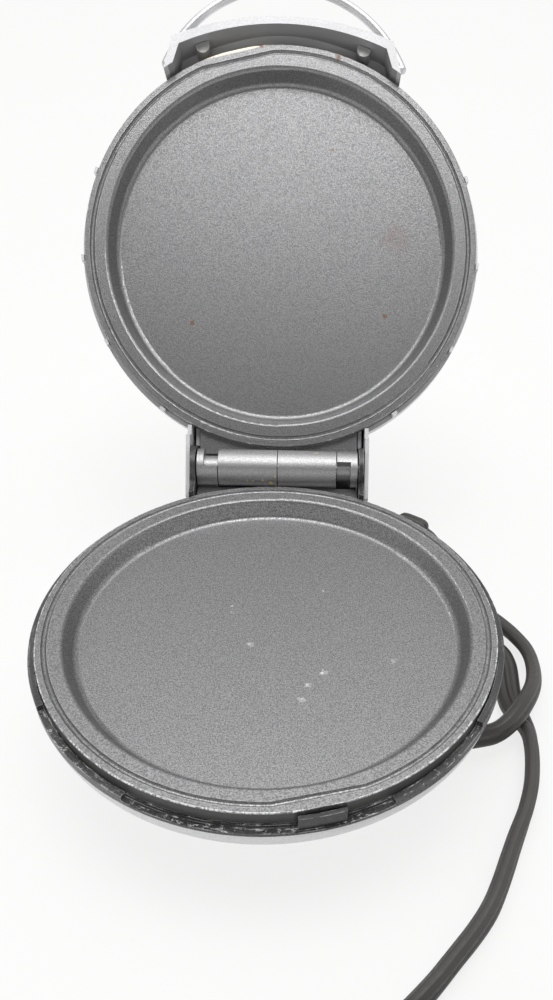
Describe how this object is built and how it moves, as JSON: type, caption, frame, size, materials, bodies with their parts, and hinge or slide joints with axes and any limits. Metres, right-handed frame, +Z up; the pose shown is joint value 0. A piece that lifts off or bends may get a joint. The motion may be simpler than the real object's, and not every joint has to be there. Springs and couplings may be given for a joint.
{
  "type": "round electric griddle",
  "caption": "Small round electric griddle with a hinged clam-shell lid standing open, dished cooking plates, a wire bail on the lid's handle, and a black cord with its plug.",
  "frame": {"origin": "on the table under the centre of the lower cooking plate", "axes": "+Z up, +Y from the plate's centre to the hinge at the back, +X to the right seen from the front"},
  "size_m": [0.1465, 0.3485, 0.1436],
  "materials": {
    "silver_shell": "metallic silver, satin",
    "black_ring": "matt, worn",
    "coated_plate": "dark speckled non-stick coating on cast metal",
    "element_steel": "heat-darkened",
    "reflector_sheet": "plain sheet",
    "control_body": "moulded",
    "terminal_white": "moulded",
    "screw_steel": "plated",
    "foot_rubber": "matt",
    "pin_steel": "drawn",
    "cord_black": "soft sheath",
    "tie_black": "plain",
    "plug_black": "moulded",
    "blade_brass": "plated",
    "stud_grey": "mottled, dull",
    "wire_steel": "drawn and plated"
  },
  "bodies": {
    "base": {"base_shell": "silver_shell", "base_ring": "black_ring", "lower_plate": "coated_plate", "lower_element": "element_steel", "lower_reflector": "reflector_sheet", "thermostat": "control_body", "terminal_block": "terminal_white", "base_screws": "screw_steel", "front_feet": "foot_rubber", "rear_feet": "foot_rubber", "hinge_pin": "pin_steel", "strain_relief": "cord_black", "cord": "cord_black", "cord_coil": "cord_black", "coil_tie": "tie_black", "plug_lead": "cord_black", "plug_body": "plug_black", "plug_blades": "blade_brass"},
    "lid": {"lid_shell": "silver_shell", "upper_plate": "coated_plate", "upper_element": "element_steel", "upper_reflector": "reflector_sheet", "thermal_fuse": "control_body", "lid_handle": "silver_shell", "handle_studs": "stud_grey"},
    "bail": {"bail": "wire_steel"}
  },
  "joints": [
    {"name": "lid_hinge", "type": "hinge", "parent": "base", "child": "lid", "pos_m": [0, 0.0672, 0.04], "axis": [1, 0, 0], "range_deg": [0, 133]},
    {"name": "bail_swing", "type": "hinge", "parent": "lid", "child": "bail", "pos_m": [0, 0.16004, 0.12489], "axis": [-1, 0, 0], "range_deg": [0, 100]}
  ]
}
